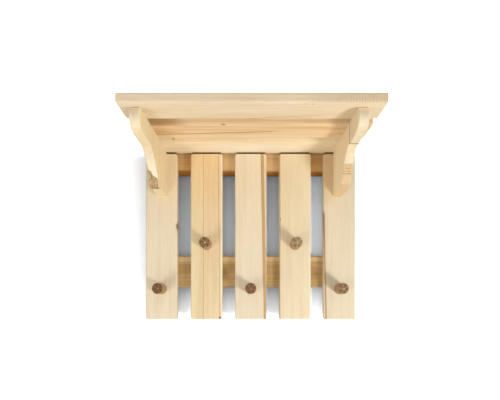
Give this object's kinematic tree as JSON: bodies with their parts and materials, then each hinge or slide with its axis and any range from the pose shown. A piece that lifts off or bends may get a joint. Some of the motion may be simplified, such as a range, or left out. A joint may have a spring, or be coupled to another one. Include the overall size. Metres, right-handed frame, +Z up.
{
  "type": "wall coat rack with shelf",
  "caption": "Wooden wall coat rack of upright slats on two rails, with a slatted shelf on scroll-cut brackets and round pegs.",
  "frame": {"origin": "in the wall plane, midway between the round entries of the two keyhole plates", "axes": "+X to the right as one faces the rack, +Y into the wall, +Z up"},
  "size_m": [0.3975, 0.249, 0.3325],
  "materials": {
    "slat_wood": "planed, bare",
    "rail_wood": "planed, bare",
    "shelf_wood": "planed, bare",
    "bracket_wood": "planed, bare",
    "peg_wood": "turned, bare",
    "hardware_steel": "zinc plated"
  },
  "bodies": {
    "root": {"slat_1": "slat_wood", "slat_2": "slat_wood", "slat_3": "slat_wood", "slat_4": "slat_wood", "slat_5": "slat_wood", "top_rail": "rail_wood", "bottom_rail": "rail_wood", "shelf_plank_rear": "shelf_wood", "shelf_plank_middle": "shelf_wood", "shelf_plank_front": "shelf_wood", "bracket_left": "bracket_wood", "bracket_right": "bracket_wood", "bracket_right_block": "bracket_wood", "peg_1": "peg_wood", "peg_2": "peg_wood", "peg_3": "peg_wood", "peg_4": "peg_wood", "peg_5": "peg_wood", "hanger_plate_left": "hardware_steel", "hanger_plate_right": "hardware_steel", "rail_screws": "hardware_steel", "bracket_screws": "hardware_steel", "shelf_screws": "hardware_steel", "hanger_screws": "hardware_steel"}
  },
  "joints": []
}
